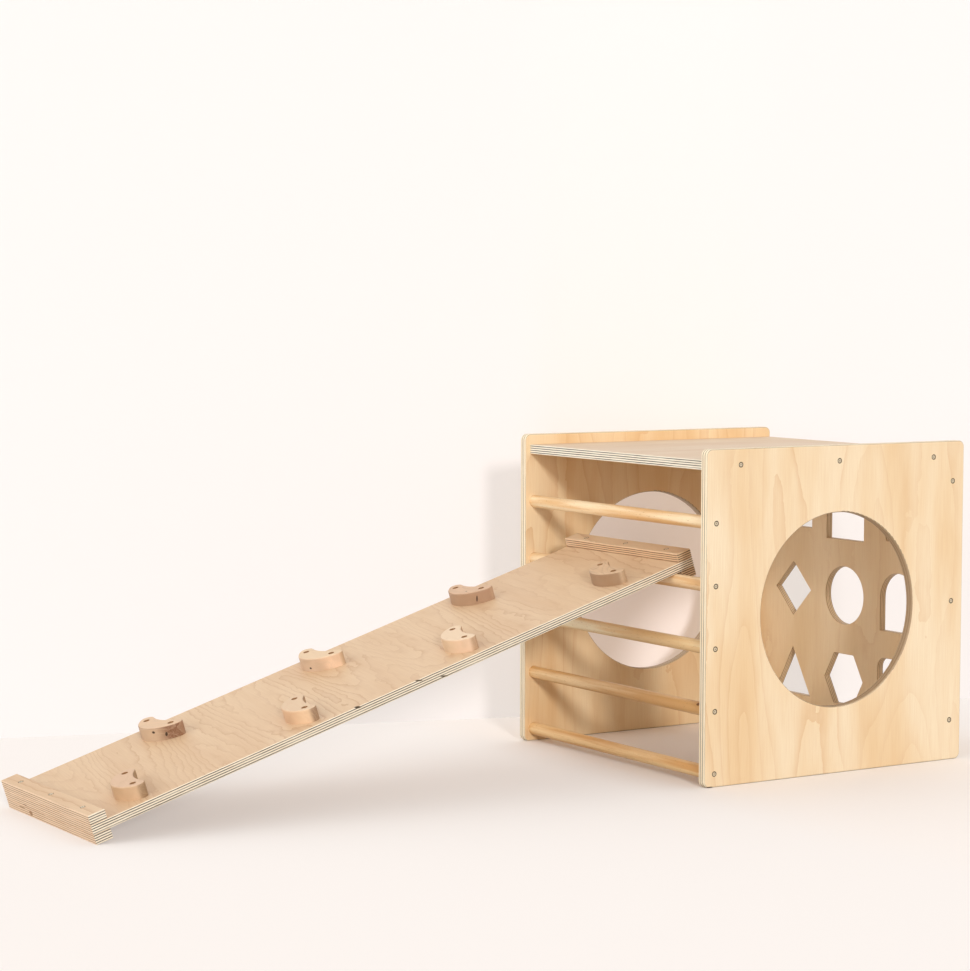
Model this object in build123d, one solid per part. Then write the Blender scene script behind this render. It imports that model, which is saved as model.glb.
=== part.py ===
from build123d import *
import os
from math import asin, atan2, cos, degrees, hypot, pi, sin

# A climbing cube of birch plywood, with a ramp hooked over one of its rungs
# Lengths are in millimetres and +Z is up. +X runs from the ramp's foot to the cube's back panel,
# and the origin is on the floor, under the middle of the whole set.

# Cube
cube_depth = 600
cube_width = 600
cube_height = 600

# Side panels, each with a round crawl hole in its middle
side_sheet = 18
side_corner_radius = 12
side_edge_round = 2.5
side_hole_dia = 355

# Top panel, let down between the side panels
top_sheet = 18
top_drop = 20
top_front_setback = 11
top_rear_setback = 4
top_edge_round = 1

# Back panel, under the top panel, with nine cut-outs for sorting shapes in three rows of three
back_sheet = 15
back_centre_inset = 27
cutout_side_border = 68
cutout_end_border = 59
cutout_side_web = 46
cutout_end_web = 54
cutout_edge_break = 1
cutouts_in_line = 3

# Sizes of the cut-outs, as shares of the square cell that each has
slot_height_share = 0.72
pentagon_radius_share = 0.535
diamond_diagonal_share = 0.97
circle_share = 1.02
arch_width_share = 0.91
arch_height_share = 1.02
triangle_side_share = 0.98
hexagon_radius_share = 0.515
corner_radius_share = 0.18

# Rungs, in blind sockets in the side panels, numbered from the top
rung_dia = 24
rung_front_inset = 22
rung_low_height = 24
rung_top_gap = 93
rung_count = 5
rung_socket_depth = 6
rung_socket_clearance = 0.1
hooked_rung = 2

# Ramp, which lies on the hooked rung
ramp_length = 1230
ramp_width = 360
ramp_sheet = 17
ramp_offset_y = -6
ramp_edge_round = 1.5
cleat_width = 30
hook_clearance = 0.3

# Climbing stones: two round lobes, a bulging front and a hollow back
stone_height = 24
stone_lobe_radius = 13
stone_lobe_reach = 38
stone_bulge = 36.5
stone_hollow = 3.5
stone_top_round = 2.5
stone_count = 7
stone_low_margin = 110
stone_high_margin = 137
stone_side_margin = 70.5
stone_turn_degrees = 14
stone_screw_reach = 33
stone_screw_setback = 5.5
stone_recess_dia = 11
stone_recess_depth = 8

# Countersunk wood screws
screw_head_dia = 10
screw_head_depth = 3
screw_shank_dia = 4.5
screw_point_length = 6
screw_clearance = 0.1
panel_screw_length = 50
panel_screw_end_margin = 75
panel_screw_count = 3
cleat_screw_length = 45
cleat_screw_side_margin = 52
cleat_screw_count = 3
stone_screw_length = 28

# How far a cutting tool runs past the face that it opens
cut_overrun = 2

# Places in the cube, first measured from the side panels' front edges
top_under = cube_height - top_drop - top_sheet
inner_width = cube_width - 2 * side_sheet
back_middle = cube_depth - back_centre_inset
cell_width = (inner_width - 2 * cutout_side_border + cutout_side_web) / cutouts_in_line - cutout_side_web
cell_height = (top_under - 2 * cutout_end_border + cutout_end_web) / cutouts_in_line - cutout_end_web
cell = min(cell_width, cell_height)
rung_radius = rung_dia / 2

# Heights of the rungs' axes, from the top rung down
rung_pitch = (top_under - rung_top_gap - rung_low_height) / (rung_count - 1)
rung_heights = [top_under - rung_top_gap - rung_pitch * i for i in range(rung_count)]
pivot_height = rung_heights[hooked_rung - 1]

# Slope of the ramp: its underside rests on the hooked rung, the hook cleat stands behind that rung,
# and the rounded outer corner of the foot cleat touches the floor.
pivot_along = ramp_length - cleat_width - rung_radius - hook_clearance
pivot_below = ramp_sheet + rung_radius + hook_clearance
run = pivot_along - ramp_edge_round
lift = 2 * ramp_sheet - pivot_below - ramp_edge_round
slope = asin((pivot_height - ramp_edge_round) / hypot(run, lift)) - atan2(lift, run)
foot_depth = 2 * ramp_sheet - ramp_edge_round
ramp_low_z = foot_depth * cos(slope) - ramp_edge_round * sin(slope) + ramp_edge_round
ramp_low_x = rung_front_inset - pivot_along * cos(slope) - pivot_below * sin(slope)

# The whole set is centred on the origin, from the lower top cleat's front corner to the cube's back
corner_height = ramp_sheet - ramp_edge_round
front_x = ramp_low_x + ramp_edge_round * cos(slope) - corner_height * sin(slope) - ramp_edge_round
cube_front = (cube_depth - front_x) / 2 - cube_depth

# On the ramp's plane, local X runs up the slope, local Y lies across it and local Z stands on the board
ramp_plane = Plane(
    origin=(cube_front + ramp_low_x, ramp_offset_y, ramp_low_z),
    x_dir=(cos(slope), 0, sin(slope)),
    z_dir=(-sin(slope), 0, cos(slope)),
)


def turned(points):
    """The solid that the points of a half outline, each a radius and a height, sweep about the Z axis."""
    return revolve(Plane.XZ * make_face(Polyline(*points, close=True)), Axis.Z)


def screws_at(places, length):
    """A countersunk screw at each place, its head flush with the place and its point below."""
    head = screw_head_dia / 2
    shank = screw_shank_dia / 2
    point = screw_point_length - length
    screw = turned([(0, 0), (head, 0), (shank, -screw_head_depth), (shank, point), (0, -length)])
    return [place * screw for place in places]


def screw_holes(places, length):
    """The holes for screws at the places, open past the face that the heads lie in."""
    head = screw_head_dia / 2 + screw_clearance
    shank = screw_shank_dia / 2 + screw_clearance
    end = -length - screw_clearance
    sides = [(head, cut_overrun), (head, 0), (shank, -screw_head_depth), (shank, end)]
    hole = turned([(0, cut_overrun), *sides, (0, end)])
    return [place * hole for place in places]


def side_places(points, side):
    """Places on the outside of a side panel: side is -1 on the right and 1 on the left."""
    y = side * cube_width / 2
    return [Plane(origin=(cube_front + x, y, z), x_dir=(1, 0, 0), z_dir=(0, side, 0)) for x, z in points]


def spread(first, last, count):
    """Evenly spaced values from first to last."""
    return [first + (last - first) * i / (count - 1) for i in range(count)]


def rung_screw_points():
    """Screw points on the rungs' axes, from the side panel's front lower corner."""
    return [(rung_front_inset, height) for height in rung_heights]


def top_screw_points():
    """Screw points on the middle of the top panel's edges."""
    height = top_under + top_sheet / 2
    last = cube_depth - panel_screw_end_margin
    return [(x, height) for x in spread(panel_screw_end_margin, last, panel_screw_count)]


def back_screw_points():
    """Screw points on the middle of the back panel's edges."""
    last = cube_height - panel_screw_end_margin
    return [(back_middle, z) for z in spread(panel_screw_end_margin, last, panel_screw_count)]


def side_panel(side):
    """A side panel: rounded corners, a crawl hole, rung sockets and screw holes."""
    inner = inner_width / 2 if side < 0 else -cube_width / 2
    middle = Pos(cube_front + cube_depth / 2, cube_height / 2)
    outline = RectangleRounded(cube_depth, cube_height, side_corner_radius) - Circle(side_hole_dia / 2)
    panel = extrude(Plane.XZ.offset(inner) * middle * outline, side_sheet)
    faces = panel.faces().filter_by(Axis.Y)
    panel = fillet([edge for face in faces for edge in face.edges()], side_edge_round)
    points = rung_screw_points() + top_screw_points() + back_screw_points()
    return panel - rung_sockets(side) - screw_holes(side_places(points, side), panel_screw_length)


def rung_sockets(side):
    """The blind sockets that the rungs' ends sit in."""
    radius = rung_radius + rung_socket_clearance
    depth = rung_socket_depth + cut_overrun
    y = side * (inner_width / 2 + rung_socket_depth)
    sockets = []
    for height in rung_heights:
        place = Plane(origin=(cube_front + rung_front_inset, y, height), z_dir=(0, -side, 0))
        sockets.append(place * extrude(Circle(radius), depth))
    return sockets


def top_panel():
    """The deck between the side panels."""
    depth = cube_depth - top_front_setback - top_rear_setback
    x = cube_front + top_front_setback + depth / 2
    panel = Pos(x, 0, top_under + top_sheet / 2) * Box(depth, inner_width, top_sheet)
    panel = fillet(panel.edges().filter_by(Axis.Y), top_edge_round)
    return panel - both_sides_holes(top_screw_points())


def back_panel():
    """The panel with the nine cut-outs."""
    x = cube_front + back_middle - back_sheet / 2
    outline = Pos(0, top_under / 2) * Rectangle(inner_width, top_under)
    panel = extrude(Plane.YZ.offset(x) * outline, back_sheet)
    panel -= [extrude(Plane.YZ.offset(x) * shape, back_sheet) for shape in cutouts()]
    inner_edges = [
        edge
        for face in panel.faces().filter_by(Axis.X)
        for wire in face.inner_wires()
        for edge in wire.edges()
    ]
    panel = chamfer(inner_edges, cutout_edge_break)
    return panel - both_sides_holes(back_screw_points())


def both_sides_holes(points):
    """Screw holes that come in from both side panels."""
    places = side_places(points, -1) + side_places(points, 1)
    return screw_holes(places, panel_screw_length)


def cutouts():
    """The nine cut-outs as sketches: three rows from the top, each from the left side to the right."""
    rows = [
        [Rectangle(cell, slot_height_share * cell), Rectangle(cell, cell), pentagon()],
        [diamond(), Circle(circle_share * cell / 2), arch()],
        [triangle(), RegularPolygon(hexagon_radius_share * cell, 6), rounded_square()],
    ]
    reach = inner_width / 2 - cutout_side_border - cell_width / 2
    low = cutout_end_border + cell_height / 2
    heights = spread(top_under - low, low, cutouts_in_line)
    placed = []
    for height, shapes in zip(heights, rows):
        for y, shape in zip(spread(reach, -reach, cutouts_in_line), shapes):
            placed.append(Pos(y, height) * shape)
    return placed


def pentagon():
    """A regular pentagon, point up."""
    return Rot(0, 0, 90) * RegularPolygon(pentagon_radius_share * cell, 5)


def diamond():
    """A square on its corner."""
    return RegularPolygon(diamond_diagonal_share * cell / 2, 4)


def arch():
    """A doorway with a half-round head."""
    width = arch_width_share * cell
    height = arch_height_share * cell
    body = Pos(0, -width / 4) * Rectangle(width, height - width / 2)
    return body + Pos(0, height / 2 - width / 2) * Circle(width / 2)


def triangle():
    """An equilateral triangle, point up, centred on half its height."""
    side = triangle_side_share * cell
    height = side * sin(pi / 3)
    corners = [(-side / 2, -height / 2), (side / 2, -height / 2), (0, height / 2)]
    return Polygon(*corners, align=None)


def rounded_square():
    """A square with generous corner rounds."""
    return RectangleRounded(cell, cell, corner_radius_share * cell)


def rung(height):
    """A round rung with a pilot hole in each end."""
    length = inner_width + 2 * rung_socket_depth
    place = Plane(origin=(cube_front + rung_front_inset, -length / 2, height), z_dir=(0, 1, 0))
    bar = place * extrude(Circle(rung_radius), length)
    return bar - both_sides_holes([(rung_front_inset, height)])


def board_slab(start, length, bottom, thickness):
    """A slab across the ramp in its local frame, with softened long edges."""
    slab = Pos(start + length / 2, 0, bottom + thickness / 2) * Box(length, ramp_width, thickness)
    edges = slab.edges().filter_by(Axis.X) + slab.edges().filter_by(Axis.Y)
    return fillet(edges, ramp_edge_round)


def cleat_screw_places(start):
    """Places of the screws in the cleats at one end, on the upper cleat's top face."""
    reach = ramp_width / 2 - cleat_screw_side_margin
    return [Pos(start + cleat_width / 2, y, ramp_sheet) for y in spread(-reach, reach, cleat_screw_count)]


def stone_places():
    """Place of each stone on the board, lowest first: the right row and the left row take turns."""
    row = ramp_width / 2 - stone_side_margin
    places = []
    for i, along in enumerate(spread(stone_low_margin, ramp_length - stone_high_margin, stone_count)):
        side = -1 if i % 2 == 0 else 1
        turn = Rot(0, 0, side * stone_turn_degrees)
        places.append(Pos(along, side * row, 0) * turn * Pos(stone_screw_setback, 0, 0))
    return places


def stone_screw_places(place):
    """Places of the two screws of a stone, at the bottom of their recesses."""
    depth = stone_height - stone_recess_depth
    return [place * Pos(-stone_screw_setback, side * stone_screw_reach, depth) for side in (-1, 1)]


def stone_outline():
    """The kidney outline: four arcs that meet smoothly, with the hollow side towards +X."""
    reach = stone_lobe_reach
    radius = stone_lobe_radius
    bulge_step = stone_bulge - radius
    bulge_centre = (reach**2 - bulge_step**2) / (2 * bulge_step)
    hollow_step = radius - stone_hollow
    hollow_centre = (reach**2 - hollow_step**2) / (2 * hollow_step)
    bulge_share = radius / hypot(reach, bulge_centre)
    hollow_share = radius / hypot(reach, hollow_centre)
    bulge_end = (-bulge_centre * bulge_share, reach + reach * bulge_share)
    hollow_end = (hollow_centre * hollow_share, reach - reach * hollow_share)
    bulge_start = (bulge_end[0], -bulge_end[1])
    hollow_start = (hollow_end[0], -hollow_end[1])
    arcs = [
        ThreePointArc(bulge_start, (-stone_bulge, 0), bulge_end),
        ThreePointArc(bulge_end, (0, reach + radius), hollow_end),
        ThreePointArc(hollow_end, (stone_hollow, 0), hollow_start),
        ThreePointArc(hollow_start, (0, -reach - radius), bulge_start),
    ]
    return make_face(arcs)


def stone(place):
    """A climbing stone in the ramp's local frame, with a softened top edge and two recesses."""
    body = extrude(stone_outline(), stone_height)
    body = fillet(body.faces().sort_by(Axis.Z)[-1].edges(), stone_top_round)
    body = place * body
    for screw_place in stone_screw_places(place):
        body -= screw_place * extrude(Circle(stone_recess_dia / 2), stone_recess_depth + cut_overrun)
    return body - screw_holes(stone_screw_places(place), stone_screw_length)


def save(name, shape):
    """Write one piece, or a group of like pieces, under its plain name."""
    solids = shape if isinstance(shape, list) else [shape]
    export_step(Compound([part for item in solids for part in item.solids()]), f"parts/{name}.step")


def save_cube():
    """Write every piece of the cube."""
    sides = {"right": -1, "left": 1}
    save("top_panel", top_panel())
    save("back_panel", back_panel())
    for name, side in sides.items():
        save(f"side_panel_{name}", side_panel(side))
        save(f"rung_screws_{name}", side_screws(rung_screw_points(), side))
        save(f"top_panel_screws_{name}", side_screws(top_screw_points(), side))
        save(f"back_panel_screws_{name}", side_screws(back_screw_points(), side))
    for number, height in enumerate(rung_heights, 1):
        save(f"rung_{number}", rung(height))


def side_screws(points, side):
    """The screws at the points of one side panel."""
    return screws_at(side_places(points, side), panel_screw_length)


def save_ramp():
    """Write every piece of the ramp, turned from its local frame to its slope."""
    upper_start = ramp_length - cleat_width
    stone_holes = [p for place in stone_places() for p in stone_screw_places(place)]
    board_cuts = screw_holes(stone_holes, stone_screw_length)
    for end, start, under_name in (("lower", 0, "foot"), ("upper", upper_start, "hook")):
        places = cleat_screw_places(start)
        holes = screw_holes(places, cleat_screw_length)
        board_cuts += holes
        top_cleat = board_slab(start, cleat_width, 0, ramp_sheet) - holes
        under_cleat = board_slab(start, cleat_width, -2 * ramp_sheet, ramp_sheet) - holes
        save(f"{end}_top_cleat", ramp_plane * top_cleat)
        save(f"{end}_{under_name}_cleat", ramp_plane * under_cleat)
        save(f"cleat_screws_{end}", [ramp_plane * s for s in screws_at(places, cleat_screw_length)])
    board = board_slab(0, ramp_length, -ramp_sheet, ramp_sheet) - board_cuts
    save("ramp_board", ramp_plane * board)
    save("stone_screws", [ramp_plane * s for s in screws_at(stone_holes, stone_screw_length)])
    for number, place in enumerate(stone_places(), 1):
        save(f"climbing_stone_{number}", ramp_plane * stone(place))


os.makedirs("parts", exist_ok=True)
save_cube()
save_ramp()
pivot_x = cube_front + rung_front_inset
print("ramp slope", round(degrees(slope), 3), "pivot", round(pivot_x, 4), round(pivot_height, 4))
print("cube front", round(cube_front, 4), "ramp foot", round(cube_front + front_x, 4))
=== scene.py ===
from math import cos, pi, radians, sin

import bpy
from mathutils import Matrix, Vector


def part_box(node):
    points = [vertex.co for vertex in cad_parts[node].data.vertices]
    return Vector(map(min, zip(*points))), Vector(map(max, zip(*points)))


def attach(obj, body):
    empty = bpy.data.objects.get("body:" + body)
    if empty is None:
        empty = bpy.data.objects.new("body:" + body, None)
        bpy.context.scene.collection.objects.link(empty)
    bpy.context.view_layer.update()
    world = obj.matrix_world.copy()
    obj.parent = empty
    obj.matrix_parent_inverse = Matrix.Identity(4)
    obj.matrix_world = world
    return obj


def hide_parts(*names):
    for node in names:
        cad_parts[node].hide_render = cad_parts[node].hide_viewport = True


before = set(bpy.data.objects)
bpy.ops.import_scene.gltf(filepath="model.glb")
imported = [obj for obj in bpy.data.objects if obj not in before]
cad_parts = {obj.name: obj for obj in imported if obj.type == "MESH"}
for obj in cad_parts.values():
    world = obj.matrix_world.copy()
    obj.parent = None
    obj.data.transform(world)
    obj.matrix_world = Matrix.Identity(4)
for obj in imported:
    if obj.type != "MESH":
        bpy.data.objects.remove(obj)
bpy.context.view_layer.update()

# Camera. A long lens at a child's shoulder height, well back from the set and looking a little
# down. It stands off the set's front right corner.
camera_place = (-2.5373, -4.0131, 0.870)
camera_turn = radians(-32.225)
camera_dip = radians(4.125)
camera_tilt = radians(0.169)
camera_lens = 98.35

bpy.ops.object.camera_add()
camera = bpy.context.object
camera.name = "photo_camera"
camera.data.lens = camera_lens
camera.matrix_world = (
    Matrix.Translation(camera_place)
    @ Matrix.Rotation(camera_turn, 4, "Z")
    @ Matrix.Rotation(pi / 2 - camera_dip, 4, "X")
    @ Matrix.Rotation(camera_tilt, 4, "Z")
)
bpy.context.scene.camera = camera

# Studio. A pale painted floor meets a pale wall just behind the cube, in a white room that is
# brighter on the wall's side. A lamp stands off the photographer's right shoulder, and a low, wide
# one on the left, where the ramp is. All of it is staging.
floor_size = 30
floor_colour = (0.96, 0.905, 0.868, 1)
floor_bounce = (0.62, 0.60, 0.58, 1)
floor_glow = 0.38
floor_dulled = (0.12, 0.30, 0.95, 1.15)
wall_foot = (0.40, 0.545, 0)
wall_turn = radians(-16.6)
wall_width = 9
wall_height = 4
wall_colour = (0.94, 0.86, 0.845, 1)
wall_glow = 0.5
wall_dulled = (0.40, 0.50, 0.85, 0.98)
sky_colour = (1.0, 0.966, 0.93, 1)
room_light = (1.0, 0.975, 0.955, 1)
room_strength = 0.70
wall_side_strength = 0.35
key_from = (-0.31, -0.95, 0.30)
key_strength = 1.26
key_softness = radians(7)
left_from = (-1.0, -0.1, 0.12)
left_strength = 1.25
left_softness = radians(50)


def node(tree, kind, inputs=(), **settings):
    """A new shader node, whose inputs take numbers, colours or the outputs of other nodes."""
    made = tree.nodes.new("ShaderNode" + kind)
    for name, value in settings.items():
        setattr(made, name, value)
    for name, value in dict(inputs).items():
        if isinstance(value, bpy.types.NodeSocket):
            tree.links.new(value, made.inputs[name])
        else:
            made.inputs[name].default_value = value
    return made


def maths(tree, operation, *values):
    """The result of a sum on numbers or outputs."""
    return node(tree, "Math", dict(enumerate(values)), operation=operation).outputs[0]


def vector_maths(tree, operation, *values):
    """The result of a sum on vectors or outputs. It is a number for a dot product or a length."""
    made = node(tree, "VectorMath", dict(enumerate(values)), operation=operation)
    return made.outputs["Value" if operation in ("DOT_PRODUCT", "LENGTH") else "Vector"]


def facing(tree, normal, direction):
    """How squarely a ray or surface faces a direction: 1 for straight at it, -1 for its back."""
    return vector_maths(tree, "DOT_PRODUCT", normal, direction)


def eased(tree, value, start, end):
    """The value, eased from 0 at start to 1 at end."""
    inputs = {"Value": value, "From Min": start, "From Max": end}
    return node(tree, "MapRange", inputs, interpolation_type="SMOOTHSTEP").outputs[0]


def straight_view(tree):
    """1 for what the camera, a reflection or clear glass shows, and 0 for the light on things."""
    ray = node(tree, "LightPath").outputs
    mirrored = maths(tree, "MAXIMUM", ray["Is Glossy Ray"], ray["Is Transmission Ray"])
    return maths(tree, "MAXIMUM", ray["Is Camera Ray"], mirrored)


def studio_paint(name, colour, lit, bounce, glow, dulled):
    """Flat paint that shows from its front only. lit is how it looks in full light, and bounce the
    colour of the light that it throws back on the set. glow is the share of its shade that the eye
    is spared. It eases off between the first two places dulled along X, behind which the cube
    stands, and back on between the last two."""
    material = bpy.data.materials.new(name)
    material.use_nodes = True
    tree = material.node_tree
    tree.nodes.clear()
    seen = straight_view(tree)
    coat = node(tree, "MixRGB", {"Fac": seen, "Color1": bounce, "Color2": colour}).outputs[0]
    paint = node(tree, "BsdfDiffuse", {"Color": coat}).outputs[0]
    light = node(tree, "Emission", {"Color": lit}).outputs[0]
    x = node(tree, "SeparateXYZ", {0: node(tree, "TexCoord").outputs["Object"]}).outputs["X"]
    lift = maths(tree, "SUBTRACT", eased(tree, x, *dulled[2:]), eased(tree, x, *dulled[:2]))
    share = maths(tree, "MULTIPLY", seen, maths(tree, "ADD", 1.0, lift))
    share = maths(tree, "MULTIPLY", share, glow)
    front = node(tree, "MixShader", {0: share, 1: paint, 2: light}).outputs[0]
    clear = node(tree, "BsdfTransparent").outputs[0]
    back = node(tree, "NewGeometry").outputs["Backfacing"]
    surface = node(tree, "MixShader", {0: back, 1: front, 2: clear}).outputs[0]
    node(tree, "OutputMaterial", {"Surface": surface})
    return material


def soft_lamp(name, towards, strength, softness):
    """A lamp so far off that it lights everything alike, from the direction towards."""
    turn = Vector(towards).to_track_quat("Z", "Y").to_euler()
    bpy.ops.object.light_add(type="SUN", rotation=turn)
    lamp = bpy.context.object
    lamp.name = name
    lamp.data.energy = strength
    lamp.data.angle = softness


floor_paint = studio_paint(
    "floor_paint", floor_colour, floor_colour, floor_bounce, floor_glow, floor_dulled
)
bpy.ops.mesh.primitive_plane_add(size=floor_size)
floor = bpy.context.object
floor.name = "studio_floor"
floor.data.materials.append(floor_paint)

wall_paint = studio_paint(
    "wall_paint", wall_colour, sky_colour, wall_colour, wall_glow, wall_dulled
)
bpy.ops.mesh.primitive_plane_add(size=1, rotation=(pi / 2, 0, wall_turn))
wall = bpy.context.object
wall.name = "studio_wall"
wall.scale = (wall_width, wall_height, 1)
wall.location = Vector(wall_foot) + Vector((0, 0, wall_height / 2))
bpy.ops.object.transform_apply()
wall.data.materials.append(wall_paint)
wall.visible_diffuse = False
wall.visible_glossy = False
wall.visible_shadow = False

soft_lamp("key_lamp", key_from, key_strength, key_softness)
soft_lamp("left_lamp", left_from, left_strength, left_softness)

world = bpy.data.worlds.new("studio")
bpy.context.scene.world = world
world.use_nodes = True
room_tree = world.node_tree
room_tree.nodes.clear()
wall_side = (-sin(wall_turn), cos(wall_turn), 0)
behind = facing(room_tree, node(room_tree, "TexCoord").outputs["Generated"], wall_side)
behind = maths(room_tree, "GREATER_THAN", behind, 0.0)
strength = maths(room_tree, "MULTIPLY_ADD", behind, wall_side_strength, room_strength)
room = node(room_tree, "Background", {"Color": room_light, "Strength": strength}).outputs[0]
sky = node(room_tree, "Background", {"Color": sky_colour, "Strength": 1.0}).outputs[0]
room = node(room_tree, "MixShader", {0: straight_view(room_tree), 1: room, 2: sky}).outputs[0]
node(room_tree, "OutputWorld", {"Surface": room})
bpy.context.scene.view_settings.view_transform = "Standard"

# Side panels. Two panels of 18 mm birch plywood, cut to a rounded square with a round crawl hole
# and lacquered. The face grain stands upright, and the glue lines are thin dark stripes on every
# cut edge. The near panel is chipped at the corner that it is dragged on. The faces inside the cube
# are painted browner, and the crawl hole's cut wall darker, as painted shade.
side_ply = 0.006
side_face = ("F8E3C2", "EECDA0", "DCAE7C")
side_cuts = ("F2E4C8", "77634C", "F2E4C8", "77634C")
side_rings = (12.0, 1.2, 6.0, 0.5)
side_waver = 0.25
side_seeds = (3.0, 11.0)
chip = ((0.2745, -0.3, 0.0005), (0.009, 0.004, 0.0022), "5E4427")
# Painted shade: the crawl hole's cut wall is darkened, and the faces inside the cube are browned
hole_shade_reach = 0.179
hole_shade = "9A7650"
hole_shade_strength = 0.75
inner_painted_shade = "FDF7EC"

# What all the plywood has. A scale is per metre, along the grain, across it and through the sheet.
# A pattern shows from the first level of its noise and in full from the second, and a relief is a
# bump's strength and its depth.
mark_edge = (0.6, 1.1)
lacquer_roughness = 0.40
lacquer_change = 0.16
lacquer_scale = (8.0, 60.0, 1.0)
fibre_scale = (14.0, 650.0, 1.0)
fibre_shows = (0.35, 0.7)
fibre_strength = 0.2
fibre_relief = (0.12, 0.0004)
flame_scale = (2.5, 12.0, 2.0)
flame_shows = (0.3, 0.75)
ring_waver = 0.7
ring_waver_scale = (28.0, 40.0, 1.0)
ring_sharpness = 5.0
ring_patch_scale = (3.0, 6.0, 3.0)
ring_patch_shows = (0.35, 0.65)
ring_patch_share = 0.7
glue_line = 0.0010
glue_core = 0.4
glue_drift = 0.0006
glue_drift_scale = (14.0, 14.0, 14.0)
glue_fade = 0.5
glue_fade_scale = (11.0, 11.0, 190.0)
glue_fade_shows = (0.2, 0.55)
cut_fibre_scale = (60.0, 60.0, 1100.0)
cut_fibre_shows = (0.35, 0.75)
cut_fibre_strength = 0.4
end_grain_shows = (0.45, 0.75)
face_shows = (0.80, 0.95)
plies_below = 8.5


def colour(code):
    """A colour written as it looks, in hexadecimal, turned into the linear values of a shader."""
    shades = [int(code[i:i + 2], 16) / 255 for i in (0, 2, 4)]
    return [s / 12.92 if s <= 0.04045 else ((s + 0.055) / 1.055) ** 2.4 for s in shades] + [1]


def tint(tree, share, low, high, blend="MIX"):
    """The colour low where share is 0, and high, or low times high, where it is 1."""
    inputs = {"Fac": share, "Color1": low, "Color2": high}
    return node(tree, "MixRGB", inputs, blend_type=blend).outputs[0]


def cloud(tree, place, scale, detail=2.0, roughness=0.5):
    """Noise from 0 to 1, with its own scale along each axis of place."""
    stretched = vector_maths(tree, "MULTIPLY", place, scale)
    inputs = {"Vector": stretched, "Scale": 1.0, "Detail": detail, "Roughness": roughness}
    return node(tree, "TexNoise", inputs).outputs[0]


def spotted(tree, here, tone, marks):
    """The tone with spots on it. A mark is a place, a reach along X, Y and Z, and a colour."""
    for place, reach, code in marks:
        off = vector_maths(tree, "SUBTRACT", here, place)
        off = vector_maths(tree, "LENGTH", vector_maths(tree, "DIVIDE", off, reach))
        inside = maths(tree, "SUBTRACT", 1.0, eased(tree, off, *mark_edge))
        tone = tint(tree, inside, tone, colour(code))
    return tone


def lacquered(name, roughness, sheen_level=0.4):
    """A new lacquered material, its tree and its shader."""
    material = bpy.data.materials.new(name)
    material.use_nodes = True
    tree = material.node_tree
    shader = tree.nodes["Principled BSDF"]
    shader.inputs["Roughness"].default_value = roughness
    shader.inputs["Specular IOR Level"].default_value = sheen_level
    return material, tree, shader


def finish_wood(tree, shader, tone, height, relief):
    """Give a shader the wood's tone, and raise its fibres by their height."""
    tree.links.new(tone, shader.inputs["Base Color"])
    strength, depth = relief
    grain = node(tree, "Bump", {"Height": height, "Strength": strength, "Distance": depth})
    tree.links.new(grain.outputs[0], shader.inputs["Normal"])


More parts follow.
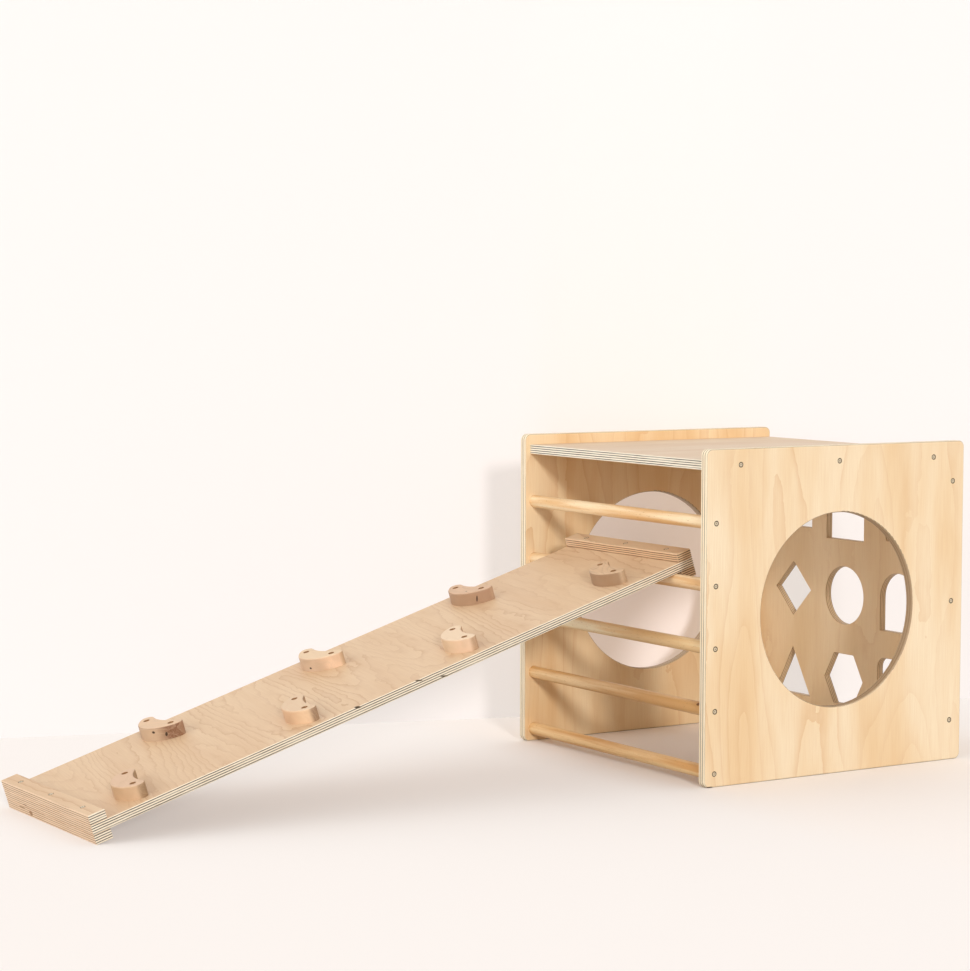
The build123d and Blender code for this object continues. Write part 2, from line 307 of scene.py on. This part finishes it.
def plywood(
    name, centre, axes, ply, face_tones, cut_tones, rings, seed,
    slope=0.0, lean=0.0, waver=ring_waver, drift=glue_drift, inside=0, hole_shade_radius=0.0, marks=(),
):
    """Lacquered plywood. axes names the piece's axes along the face grain, across it and through
    the sheet, and ply is the distance between its glue lines. face_tones are the wood, its flames
    and its growth rings; cut_tones the veneers and the glue where the face grain is cut across,
    then the same where it is cut along. rings counts them, and gives their scale along the grain
    and across it and their strength. lean is how far they stray across the grain, and waver how
    unsteady they are. drift is how far the glue lines wander. inside names the side of the sheet,
    -1 or 1, whose face is painted browner as the shade inside the cube, and the last argument is
    the radius within which the cut edges are painted darker as shade."""
    material, tree, shader = lacquered(name, lacquer_roughness)
    wood, flame, ring = [colour(code) for code in face_tones]
    end_veneer, end_glue, long_veneer, long_glue = [colour(code) for code in cut_tones]
    ring_count, ring_along, ring_across, ring_strength = rings
    here = node(tree, "TexCoord")
    inputs = {"Vector": here.outputs["Object"], "Location": centre, "Rotation": (0, -slope, 0)}
    local = node(tree, "Mapping", inputs, vector_type="TEXTURE")
    split = node(tree, "SeparateXYZ", {0: local.outputs[0]})
    along, across, through = [split.outputs[axis] for axis in axes]
    turned = Matrix.Rotation(-slope, 3, "Y")
    normals = [turned @ Vector([letter == axis for letter in "XYZ"]) for axis in axes]
    squarely = [facing(tree, here.outputs["Normal"], normal) for normal in normals]
    end_on, _, face_on = [maths(tree, "ABSOLUTE", squareness) for squareness in squarely]

    # Growth rings: level lines of a gently rolling height, drawn out along the grain
    side = maths(tree, "ADD", maths(tree, "SIGN", through), seed)
    leaning = maths(tree, "MULTIPLY_ADD", along, -lean, across)
    spot = node(tree, "CombineXYZ", {0: along, 1: leaning, 2: side}).outputs[0]
    height = cloud(tree, spot, (ring_along, ring_across, 1.0), detail=1.3, roughness=0.4)
    unsteady = maths(tree, "MULTIPLY", cloud(tree, spot, ring_waver_scale, detail=3.0), waver)
    level = maths(tree, "MULTIPLY_ADD", height, ring_count, unsteady)
    line = maths(tree, "POWER", maths(tree, "FRACT", level), ring_sharpness)
    patch = eased(tree, cloud(tree, spot, ring_patch_scale), *ring_patch_shows)
    most, least = ring_patch_share * ring_strength, (1 - ring_patch_share) * ring_strength
    ring_share = maths(tree, "MULTIPLY", line, maths(tree, "MULTIPLY_ADD", patch, most, least))

    # Flames and fine fibres along the grain
    flames = eased(tree, cloud(tree, spot, flame_scale, detail=3.0), *flame_shows)
    fibre = cloud(tree, spot, fibre_scale, detail=3.0, roughness=0.6)
    fibre_share = maths(tree, "MULTIPLY", eased(tree, fibre, *fibre_shows), fibre_strength)
    face = tint(tree, flames, wood, flame)
    face = tint(tree, ring_share, face, ring)
    face = tint(tree, fibre_share, face, ring)
    # Painted shade: the face on the side inside the cube is made browner
    inner_shade_share = maths(tree, "GREATER_THAN", maths(tree, "MULTIPLY", through, inside), 0.0)
    face = tint(tree, inner_shade_share, face, colour(inner_painted_shade), "MULTIPLY")

    # Cut edges: pale veneers with dark glue lines between them, no two alike along their length.
    # The plies are counted from below the sheet, so that a veneer lies in its middle.
    cut = node(tree, "CombineXYZ", {0: along, 1: across, 2: through}).outputs[0]
    wander = cloud(tree, cut, glue_drift_scale, detail=3.0)
    wander = maths(tree, "MULTIPLY_ADD", wander, drift, -drift / 2)
    depth = maths(tree, "ADD", through, wander)
    plies = maths(tree, "FRACT", maths(tree, "MULTIPLY_ADD", depth, 1 / ply, plies_below))
    from_veneer = maths(tree, "ABSOLUTE", maths(tree, "SUBTRACT", plies, 0.5))
    half_line = glue_line / ply
    glue_share = eased(tree, from_veneer, 0.5 - half_line, 0.5 - glue_core * half_line)
    fade = eased(tree, cloud(tree, cut, glue_fade_scale, detail=1.0), *glue_fade_shows)
    fade = maths(tree, "MULTIPLY_ADD", fade, glue_fade, 1 - glue_fade)
    glue_share = maths(tree, "MULTIPLY", glue_share, fade)
    cut_fibre = eased(tree, cloud(tree, cut, cut_fibre_scale, detail=3.0), *cut_fibre_shows)
    end_share = eased(tree, end_on, *end_grain_shows)
    veneer = tint(tree, end_share, long_veneer, end_veneer)
    glue = tint(tree, end_share, long_glue, end_glue)
    edge = tint(tree, maths(tree, "MULTIPLY", cut_fibre, cut_fibre_strength), veneer, flame)
    edge = tint(tree, glue_share, edge, glue)
    # Painted shade: the cut wall of the crawl hole, within the given radius of the middle, is
    # darkened
    off_middle = node(tree, "CombineXYZ", {0: along, 1: across}).outputs[0]
    off_middle = vector_maths(tree, "LENGTH", off_middle)
    in_hole_shade = maths(tree, "LESS_THAN", off_middle, hole_shade_radius)
    edge = tint(tree, maths(tree, "MULTIPLY", in_hole_shade, hole_shade_strength), edge, colour(hole_shade))

    # The face veneer shows where the surface lies along the sheet
    face_share = eased(tree, face_on, *face_shows)
    tone = spotted(tree, here.outputs["Object"], tint(tree, face_share, edge, face), marks)
    raised = maths(tree, "SUBTRACT", maths(tree, "MULTIPLY", fibre, face_share), glue_share)
    finish_wood(tree, shader, tone, raised, fibre_relief)
    sheen = cloud(tree, spot, lacquer_scale)
    sheen = maths(tree, "MULTIPLY_ADD", sheen, lacquer_change, lacquer_roughness)
    tree.links.new(sheen, shader.inputs["Roughness"])
    return material


def dress(name, material):
    """Give a piece of the frame its one material."""
    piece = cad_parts[name]
    piece.data.materials.clear()
    piece.data.materials.append(material)


def middle(name):
    """The middle of a piece of the frame."""
    low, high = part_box(name)
    return (low + high) / 2


for side, seed, inside, chips in zip(("right", "left"), side_seeds, (1, -1), ([chip], [])):
    name = "side_panel_" + side
    dress(name, plywood(
        name + "_ply", middle(name), "ZXY", side_ply, side_face, side_cuts, side_rings, seed,
        waver=side_waver, inside=inside, hole_shade_radius=hole_shade_reach, marks=chips,
    ))

# Top panel. The deck of 18 mm plywood, let down between the side panels, with its face grain
# running from front to back, so that its front edge shows pale veneers and crisp dark glue lines.
deck_ply = 0.0041
deck_face = ("DDC5AA", "D7B998", "C5A17D")
deck_cuts = ("F4EEDC", "1F1B16", "E6CDA6", "8A7656")
deck_rings = (7.0, 1.5, 9.0, 0.4)
deck_seed = 21.0
dress("top_panel", plywood(
    "deck_ply", middle("top_panel"), "XYZ", deck_ply, deck_face, deck_cuts, deck_rings, deck_seed,
))

# Back panel. 15 mm plywood with nine cut-outs that match a set of sorting blocks, set a little
# in from the cube's back edge. The face grain stands upright.
back_ply = 0.0038
back_face = ("FAE2BC", "F1D4A8", "DAAF80")
back_cuts = ("DDBD92", "8A6540", "DDBD92", "8A6540")
back_rings = (6.0, 1.5, 8.0, 0.35)
back_seed = 33.0
dress("back_panel", plywood(
    "back_ply", middle("back_panel"), "ZYX", back_ply, back_face, back_cuts, back_rings, back_seed,
))

# Rungs. Five turned and sanded beech dowels, 24 mm thick, whose ends sit in sockets in the side
# panels. Beech is yellowish, with short dark flecks along the grain. One rung has a knot.
# Each rung has its own tones. The third is painted paler, as painted light against the shadow that
# the ramp throws on it.
rung_tones_with_painted_light = (
    ("F7DFB7", "E0B27A"),
    ("F3D7AE", "DAAB74"),
    ("FBEBC6", "EBC690"),
    ("EECB99", "D3A164"),
    ("F1CB94", "D8A160"),
)
rung_roughness = 0.45
rung_band_scale = (70.0, 3.0, 70.0)
rung_band_shows = (0.38, 0.62)
rung_fibre_scale = (700.0, 18.0, 700.0)
rung_fibre_shows = (0.4, 0.7)
rung_fibre_strength = 0.25
rung_fibre_relief = (0.1, 0.0003)
rung_fleck = "A8763F"
rung_fleck_scale = (900.0, 110.0, 900.0)
rung_fleck_shows = (0.66, 0.74)
rung_fleck_strength = 0.45
rung_seed_step = 0.7
knotted_rung = 4
knot_place = Vector((-0.0075, -0.262, 0.009))
knot_reach = (0.006, 0.006, 0.003)
knot_colour = "7A4A22"


def beech(name, wood, shade, seed, marks):
    """Lacquered beech with its grain along Y, and dark spots."""
    material, tree, shader = lacquered(name, rung_roughness)
    here = node(tree, "TexCoord").outputs["Object"]
    place = vector_maths(tree, "ADD", here, (seed, 0, seed))
    bands = eased(tree, cloud(tree, place, rung_band_scale, detail=4.0), *rung_band_shows)
    fibre = cloud(tree, place, rung_fibre_scale, detail=3.0, roughness=0.6)
    fibres = maths(tree, "MULTIPLY", eased(tree, fibre, *rung_fibre_shows), rung_fibre_strength)
    flecks = eased(tree, cloud(tree, place, rung_fleck_scale, detail=1.0), *rung_fleck_shows)
    flecks = maths(tree, "MULTIPLY", flecks, rung_fleck_strength)
    tone = tint(tree, bands, colour(wood), colour(shade))
    tone = tint(tree, fibres, tone, colour(shade))
    tone = tint(tree, flecks, tone, colour(rung_fleck))
    finish_wood(tree, shader, spotted(tree, here, tone, marks), fibre, rung_fibre_relief)
    return material


for number, (wood, shade) in enumerate(rung_tones_with_painted_light, 1):
    name = f"rung_{number}"
    knot = (middle(name) + knot_place, knot_reach, knot_colour)
    marks = [knot] if number == knotted_rung else []
    dress(name, beech(name + "_beech", wood, shade, number * rung_seed_step, marks))

# Ramp board and cleats. Sheets of 17 mm plywood with the face grain across the ramp; the cleats are
# strips of the same sheet, glued and screwed above and below the board's ends. The long edges show
# cream veneers between dark glue lines, with a few gaps in them, and the foot is scuffed.
ramp_slope = radians(17.323)
ramp_sheet = 0.017
ramp_ply = 0.004
ramp_face = ("E0C3A0", "D6B48F", "B98C64")
ramp_cuts = ("F6E9D2", "2C2218", "F0D2B2", "94704C")
ramp_rings = (22.0, 1.1, 8.0, 0.65)
ramp_lean = 0.15
ramp_waver = 1.3
ramp_seed = 45.0
ramp_gaps = [
    ((-0.3747, -0.186, 0.1815), (0.007, 0.006, 0.0022), "4A3A26"),
    ((-0.2558, -0.186, 0.2176), (0.008, 0.006, 0.0016), "54452E"),
    ((-0.2063, -0.186, 0.2215), (0.009, 0.006, 0.0014), "54452E"),
    ((-0.8538, 0.0924, 0.0187), (0.004, 0.010, 0.0012), "8A5F3C"),
]
foot_scuffs = [
    ((-0.8503, 0.0751, 0.0078), (0.006, 0.008, 0.005), "9A7048"),
    ((-0.8520, 0.1100, 0.0120), (0.006, 0.016, 0.0012), "A47C55"),
]
cleat_rings = (9.0, 1.6, 12.0, 0.7)
cleat_drift = 0.0016
cleat_seed = 60
# The upper cleats' cut edges are painted browner, as the shade that the near side panel throws on
# them
upper_shaded_cuts = ("DDBF99", "38261A", "E0BD97", "6F4C32")
cleats = {
    "lower_top_cleat": (ramp_cuts, []),
    "lower_foot_cleat": (ramp_cuts, foot_scuffs),
    "upper_top_cleat": (upper_shaded_cuts, []),
    "upper_hook_cleat": (upper_shaded_cuts, []),
}
ramp_middle = middle("ramp_board")
dress("ramp_board", plywood(
    "ramp_ply", ramp_middle, "YXZ", ramp_ply, ramp_face, ramp_cuts, ramp_rings, ramp_seed,
    slope=ramp_slope, lean=ramp_lean, waver=ramp_waver, marks=ramp_gaps,
))
for seed, (name, (cuts, marks)) in enumerate(cleats.items(), cleat_seed):
    dress(name, plywood(
        name + "_ply", ramp_middle, "YXZ", ramp_ply, ramp_face, cuts, cleat_rings, seed,
        slope=ramp_slope, drift=cleat_drift, marks=marks,
    ))

# Climbing stones. Seven kidney-shaped steps milled from solid offcuts, each with its top edge
# eased and two screws sunk in counterbores. Their sides are painted in other tones than their tops,
# one for each way they face, as painted shade, and the counterbores are darkened as painted shade.
# Some are of darker wood than others, and three have knots.
stone_first = -0.505
stone_pitch = 0.163833
stone_offset = 0.1095
stone_turn = radians(14)
bore_apart = 0.033
bore_radius = 0.0056
stone_tops = ("D8B596", "DEBC99", "DCBF9E", "E4C7A3", "E8CDAD", "D8B392", "D7B591")
stone_foot_shades_and_rings = ("CAA985", "C9AD90", "D8B391", "CFB296", "DCBF9E", "AE8D71", "A38468")
stone_near_side_shades = ("DBB995", "7E543A", "E5C29D", "EBC7A6", "E3C1A2", "AA866A", "A08061")
stone_head_side_shades = ("9F8161", "996E54", "9D7E62", "D2B28F", "BD9979", "C2A286", "C9AA88")
stone_shade = "8F6A48"
bore_shade = "A67C55"
stone_roughness = 0.5
stone_fibre_scale = (500.0, 20.0, 500.0)
stone_fibre_shows = (0.4, 0.7)
stone_fibre_strength = 0.25
stone_band_scale = (35.0, 22.0, 30.0)
stone_band_shows = (0.35, 0.7)
stone_band_strength = 0.25
stone_ring_scale = (16.0, 5.0, 16.0)
stone_ring_count = 14.0
stone_ring_sharpness = 4.0
stone_ring_strength = 0.3
stone_top_shows = (0.55, 0.9)
stone_near_shade_shows = (-1.0, -0.65)
stone_head_shade_shows = (-0.45, 0.25)
stone_seed_step = 1.3
stone_knots = {
    2: [
        ((-0.6240, 0.0805, 0.1225), (0.0035, 0.0035, 0.0025), "3E2C1E"),
        ((-0.6074, 0.0641, 0.1208), (0.0025, 0.0025, 0.0045), "3E2C1E"),
    ],
    4: [((-0.3132, 0.0919, 0.2088), (0.003, 0.003, 0.0020), "3E2C1E")],
    6: [
        ((0.0088, 0.0893, 0.3276), (0.002, 0.002, 0.006), "5A4030"),
        ((0.0168, 0.0651, 0.3160), (0.0016, 0.0016, 0.011), "4A3022"),
    ],
}
ramp_place = Matrix.Translation(ramp_middle) @ Matrix.Rotation(-ramp_slope, 4, "Y")


def stone_place(number):
    """Where the middle between a stone's screws stands on the board, and how it is turned."""
    side = 1 if number % 2 == 0 else -1
    along = stone_first + stone_pitch * (number - 1)
    foot = Matrix.Translation((along, side * stone_offset, ramp_sheet / 2))
    return ramp_place @ foot @ Matrix.Rotation(side * stone_turn, 4, "Z")


def stone_wood(name, place, top, foot_shade_and_rings, near_side_shade, head_side_shade, seed, marks):
    """Lacquered softwood, pale on top, with tones of painted shade on the sides that face the
    ramp's foot, its near edge and its head, and painted shade in the counterbores."""
    material, tree, shader = lacquered(name, stone_roughness)
    here = node(tree, "TexCoord").outputs
    turn = place.to_3x3()
    inputs = {
        "Vector": here["Object"], "Location": place.translation, "Rotation": turn.to_euler(),
    }
    local = node(tree, "Mapping", inputs, vector_type="TEXTURE").outputs[0]
    split = node(tree, "SeparateXYZ", {0: local}).outputs
    grain_place = vector_maths(tree, "ADD", local, (seed, seed, 0))

    # Grain along the stone, with broad rings that show on the sides
    fibre = cloud(tree, grain_place, stone_fibre_scale, detail=3.0, roughness=0.6)
    fibres = maths(tree, "MULTIPLY", eased(tree, fibre, *stone_fibre_shows), stone_fibre_strength)
    bands = eased(tree, cloud(tree, grain_place, stone_band_scale), *stone_band_shows)
    bands = maths(tree, "MULTIPLY", bands, stone_band_strength)
    rings = cloud(tree, grain_place, stone_ring_scale, detail=1.0)
    rings = maths(tree, "FRACT", maths(tree, "MULTIPLY", rings, stone_ring_count))
    rings = maths(tree, "POWER", rings, stone_ring_sharpness)
    rings = maths(tree, "MULTIPLY", rings, stone_ring_strength)
    # Painted shade: each way a side faces, towards the foot, the near edge or the head, has its own
    # tone
    up = facing(tree, here["Normal"], turn @ Vector((0, 0, 1)))
    uphill = facing(tree, here["Normal"], turn @ Vector((1, 0, 0)))
    near_shade_share = eased(tree, uphill, *stone_near_shade_shows)
    tone = tint(tree, near_shade_share, colour(foot_shade_and_rings), colour(near_side_shade))
    tone = tint(tree, eased(tree, uphill, *stone_head_shade_shows), tone, colour(head_side_shade))
    tone = tint(tree, bands, tone, colour(stone_shade))
    tone = tint(tree, eased(tree, up, *stone_top_shows), tone, colour(top))
    tone = tint(tree, maths(tree, "ADD", rings, fibres), tone, colour(foot_shade_and_rings))

    # Counterbores, darkened with painted shade
    sideways = maths(tree, "SUBTRACT", maths(tree, "ABSOLUTE", split["Y"]), bore_apart)
    off_bore = node(tree, "CombineXYZ", {0: split["X"], 1: sideways}).outputs[0]
    in_bore_shade = maths(tree, "LESS_THAN", vector_maths(tree, "LENGTH", off_bore), bore_radius)
    tone = tint(tree, in_bore_shade, tone, colour(bore_shade))
    finish_wood(tree, shader, spotted(tree, here["Object"], tone, marks), fibre, fibre_relief)
    return material


stone_tops_and_shaded_sides = zip(stone_tops, stone_foot_shades_and_rings, stone_near_side_shades, stone_head_side_shades)
for number, tones in enumerate(stone_tops_and_shaded_sides, 1):
    name = f"climbing_stone_{number}"
    seed = number * stone_seed_step
    marks = stone_knots.get(number, [])
    dress(name, stone_wood(name + "_wood", stone_place(number), *tones, seed, marks))

# Screws. Zinc-plated wood screws with a flat countersunk head, a cross recess and a dark ring where
# the head's bevel drops below the wood; the ring and the recess walls are painted shade. The
# panels, the cleats and the stones each take one length.
panel_screw_length = 0.050
cleat_screw_length = 0.045
stone_screw_length = 0.028
head_radius = 0.0046
head_sink = 0.00045
head_depth = 0.003
disc_radius = 0.0033
disc_rise = 0.0003
shank_radius = 0.00225
point_length = 0.006
point_taper = 0.08
recess_reach = 0.0019
recess_width = 0.0008
recess_depth = 0.0014
recess_taper = 0.45
screw_sides = 24
smooth_below = radians(35)
screw_twist = 2.4
steel_tones = ("EADCC2", "CDBD9F")
steel_roughness = 0.38
steel_metallic = 0.7
steel_scale = (900.0, 900.0, 900.0)
# Painted shade for the ring round the head and the walls of the cross recess
recess_shade_tones = ("3B3027", "5A4A3A")
recess_shade_roughness = 0.8
recess_shade_sheen = 0.2
recess_shade_scale = (700.0, 700.0, 700.0)
end_row_heights = (0.075, 0.300, 0.525)
cleat_from_middle = 0.600
cleat_spread = 0.128
cleat_face = 1.5 * ramp_sheet
bore_floor = 0.016


def mottle(tree, shader, scale, tones):
    """Give a shader a fine mottle of two tones."""
    here = node(tree, "TexCoord").outputs["Object"]
    tone = tint(tree, cloud(tree, here, scale), *[colour(code) for code in tones])
    tree.links.new(tone, shader.inputs["Base Color"])


steel, steel_tree, steel_shader = lacquered("screw_steel", steel_roughness)
steel_shader.inputs["Metallic"].default_value = steel_metallic
mottle(steel_tree, steel_shader, steel_scale, steel_tones)
recess_shade, recess_shade_tree, recess_shade_shader = lacquered("screw_shade", recess_shade_roughness, recess_shade_sheen)
mottle(recess_shade_tree, recess_shade_shader, recess_shade_scale, recess_shade_tones)


def choose_faces(piece, wanted):
    """In edit mode, select only the faces for which wanted(face) is true."""
    bpy.ops.mesh.select_all(action="DESELECT")
    bpy.ops.object.mode_set(mode="OBJECT")
    for face in piece.data.polygons:
        face.select = wanted(face)
    bpy.ops.object.mode_set(mode="EDIT")


def faces_up(face):
    """Whether a face looks straight up."""
    return face.normal.z > 0.9


def faces_down(face):
    """Whether a face looks straight down."""
    return face.normal.z < -0.9


def extrude(rise):
    """In edit mode, draw the chosen faces out along Z."""
    bpy.ops.mesh.extrude_region_move(TRANSFORM_OT_translate={"value": (0, 0, rise)})


def make_screw(length):
    """One screw that points down, with its head's top face at the origin."""
    shank_top = -head_depth
    shank_end = point_length - length
    bpy.ops.object.select_all(action="DESELECT")
    bpy.ops.mesh.primitive_cylinder_add(
        vertices=screw_sides,
        radius=shank_radius,
        depth=shank_top - shank_end,
        location=(0, 0, (shank_top + shank_end) / 2),
    )
    screw = bpy.context.object
    bpy.ops.object.transform_apply()
    for material in (steel, recess_shade):
        screw.data.materials.append(material)
    bpy.ops.object.mode_set(mode="EDIT")
    bpy.ops.mesh.select_mode(type="FACE")

    # Point
    choose_faces(screw, faces_down)
    extrude(-point_length)
    bpy.ops.transform.resize(value=(point_taper, point_taper, 1))

    # Countersunk head, with a ring of painted shade round a raised disc
    choose_faces(screw, faces_up)
    extrude(head_depth - head_sink)
    bpy.ops.transform.resize(value=(head_radius / shank_radius, head_radius / shank_radius, 1))
    bpy.ops.mesh.inset(thickness=head_radius - disc_radius)
    extrude(disc_rise)
    bpy.ops.object.mode_set(mode="OBJECT")
    for face in screw.data.polygons:
        if faces_up(face) and face.center.xy.length > disc_radius:
            face.material_index = 1

    # Cross recess, cut by two tapered blades, with walls of painted shade
    for turn in (0, pi / 2):
        bpy.ops.object.select_all(action="DESELECT")
        bpy.ops.mesh.primitive_cube_add(size=1, location=(0, 0, -head_sink), rotation=(0, 0, turn))
        blade = bpy.context.object
        blade.scale = (2 * recess_reach, recess_width, 2 * recess_depth)
        bpy.ops.object.transform_apply()
        bpy.ops.object.mode_set(mode="EDIT")
        choose_faces(blade, faces_down)
        bpy.ops.transform.resize(value=(recess_taper, recess_taper, 1))
        bpy.ops.object.mode_set(mode="OBJECT")
        for material in (steel, recess_shade):
            blade.data.materials.append(material)
        for face in blade.data.polygons:
            face.material_index = 1
        bpy.ops.object.select_all(action="DESELECT")
        screw.select_set(True)
        bpy.context.view_layer.objects.active = screw
        cut = screw.modifiers.new("recess", "BOOLEAN")
        cut.operation = "DIFFERENCE"
        cut.solver = "EXACT"
        cut.object = blade
        bpy.ops.object.modifier_apply(modifier=cut.name)
        bpy.data.objects.remove(blade)
    bpy.ops.object.shade_smooth_by_angle(angle=smooth_below)
    return screw


def drive_screws(name, pattern, body, places):
    """Copies of the screw at the places, as the one piece that stands for the frame's node."""
    bpy.ops.object.select_all(action="DESELECT")
    for number, place in enumerate(places):
        copy = pattern.copy()
        copy.data = pattern.data.copy()
        copy.data.transform(place @ Matrix.Rotation(screw_twist * number, 4, "Z"))
        bpy.context.collection.objects.link(copy)
        copy.select_set(True)
        if number == 0:
            bpy.context.view_layer.objects.active = copy
    bpy.ops.object.join()
    piece = bpy.context.object
    piece.name = name + "_driven"
    piece.data.name = name + "_driven"
    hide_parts(name)
    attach(piece, body)


panel_screw = make_screw(panel_screw_length)
cleat_screw = make_screw(cleat_screw_length)
stone_screw = make_screw(stone_screw_length)
cube_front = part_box("side_panel_right")[0].x
near_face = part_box("side_panel_right")[0].y
far_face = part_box("side_panel_left")[1].y
panel_rows = {
    "rung": [(middle(f"rung_{n}").x, middle(f"rung_{n}").z) for n in range(1, 6)],
    "top_panel": [(cube_front + back, middle("top_panel").z) for back in end_row_heights],
    "back_panel": [(middle("back_panel").x, height) for height in end_row_heights],
}
for side, turn, face in (("right", pi / 2, near_face), ("left", -pi / 2, far_face)):
    inward = Matrix.Rotation(turn, 4, "X")
    for row, spots in panel_rows.items():
        places = [Matrix.Translation((x, face, z)) @ inward for x, z in spots]
        drive_screws(f"{row}_screws_{side}", panel_screw, "cube", places)
for end, along in (("lower", -cleat_from_middle), ("upper", cleat_from_middle)):
    places = [
        ramp_place @ Matrix.Translation((along, across, cleat_face))
        for across in (-cleat_spread, 0, cleat_spread)
    ]
    drive_screws(f"cleat_screws_{end}", cleat_screw, "ramp", places)
places = [
    stone_place(number) @ Matrix.Translation((0, across, bore_floor))
    for number in range(1, 8)
    for across in (-bore_apart, bore_apart)
]
drive_screws("stone_screws", stone_screw, "ramp", places)
for pattern in (panel_screw, cleat_screw, stone_screw):
    bpy.data.objects.remove(pattern)
